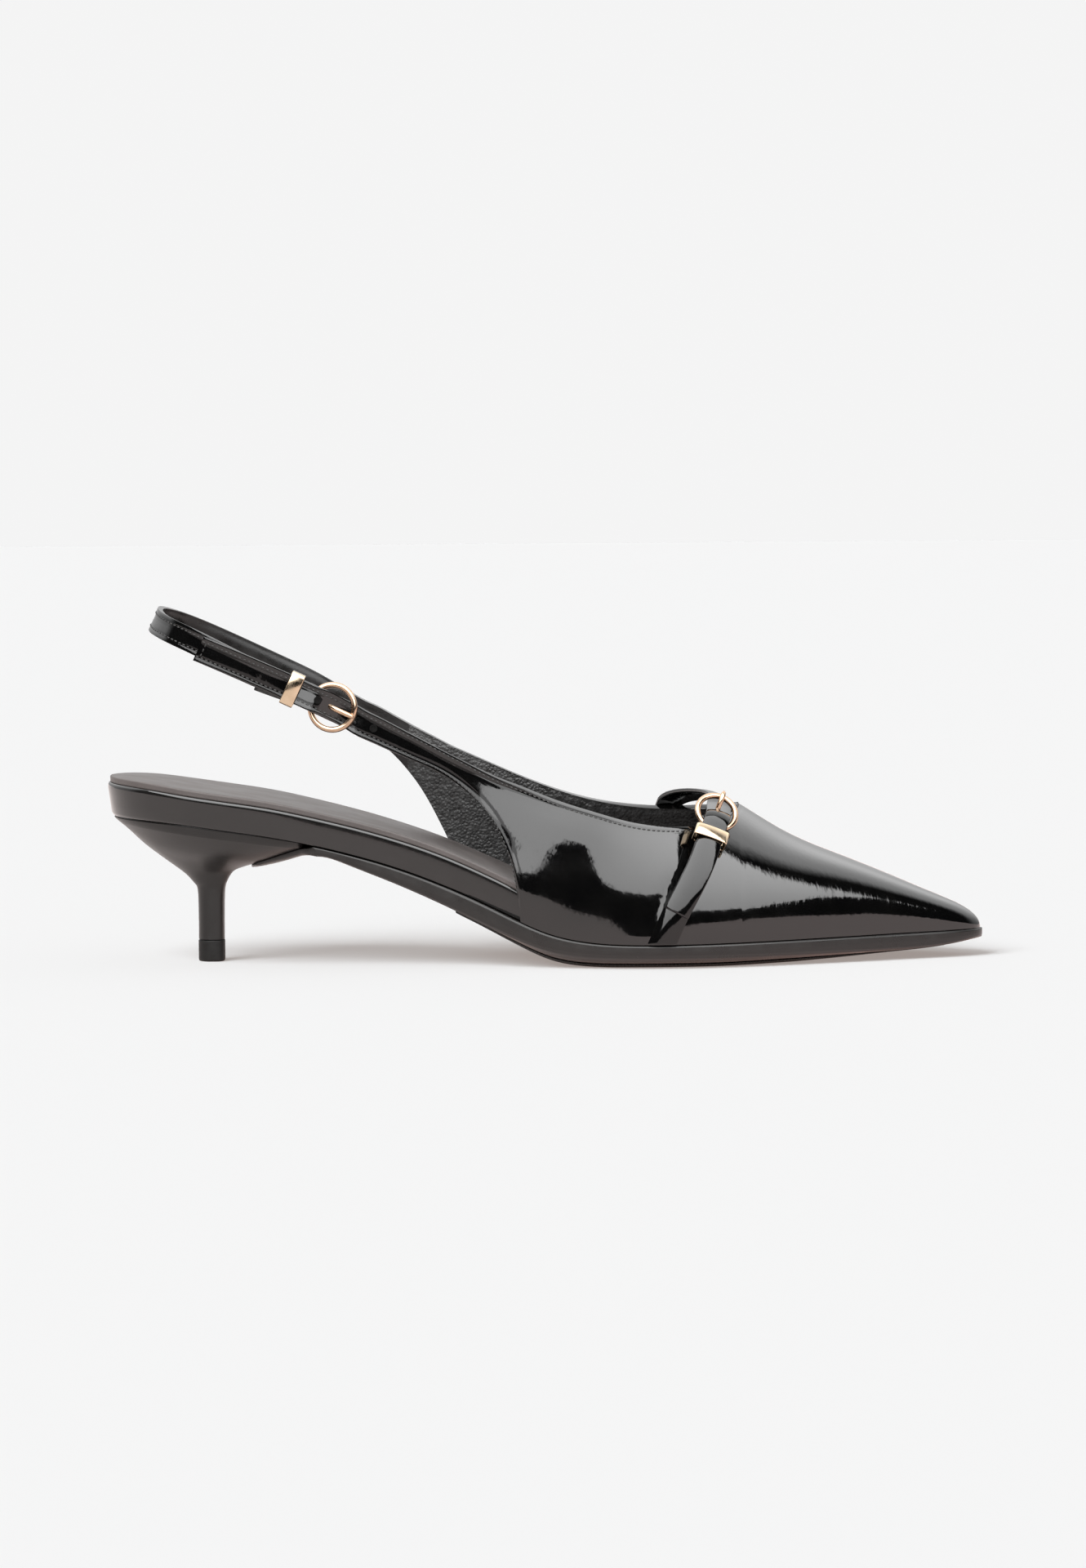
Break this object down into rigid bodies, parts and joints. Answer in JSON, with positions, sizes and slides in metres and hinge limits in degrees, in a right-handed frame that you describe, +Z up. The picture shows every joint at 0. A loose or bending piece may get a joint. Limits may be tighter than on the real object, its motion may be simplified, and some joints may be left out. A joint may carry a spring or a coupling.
{
  "type": "slingback pump",
  "caption": "Right slingback pump with pointed toe, slim kitten heel, buckled sling strap and buckled strap across the instep.",
  "frame": {"origin": "middle of the shoe's bounding box, on the floor", "axes": "+X from the heel to the toe, +Y towards the medial side, +Z up"},
  "size_m": [0.2565, 0.0763, 0.1042],
  "materials": {
    "sole": "smooth moulded, satin",
    "band": "gloss covered edge",
    "heel": "gloss",
    "lift": "matte",
    "sock": "satin",
    "patent": "patent gloss",
    "strap": "patent gloss",
    "gold": "polished pale gold plating"
  },
  "bodies": {
    "root": {"outsole": "sole", "tread_pad": "sole", "footbed_board": "band", "heel": "heel", "top_lift": "lift", "insole": "sock", "upper": "patent", "instep_strap": "strap", "instep_strap_anchor": "strap", "sling_ring": "gold", "sling_prong": "gold", "sling_keeper": "gold", "instep_ring": "gold", "instep_prong": "gold", "instep_keeper": "gold"}
  },
  "joints": []
}
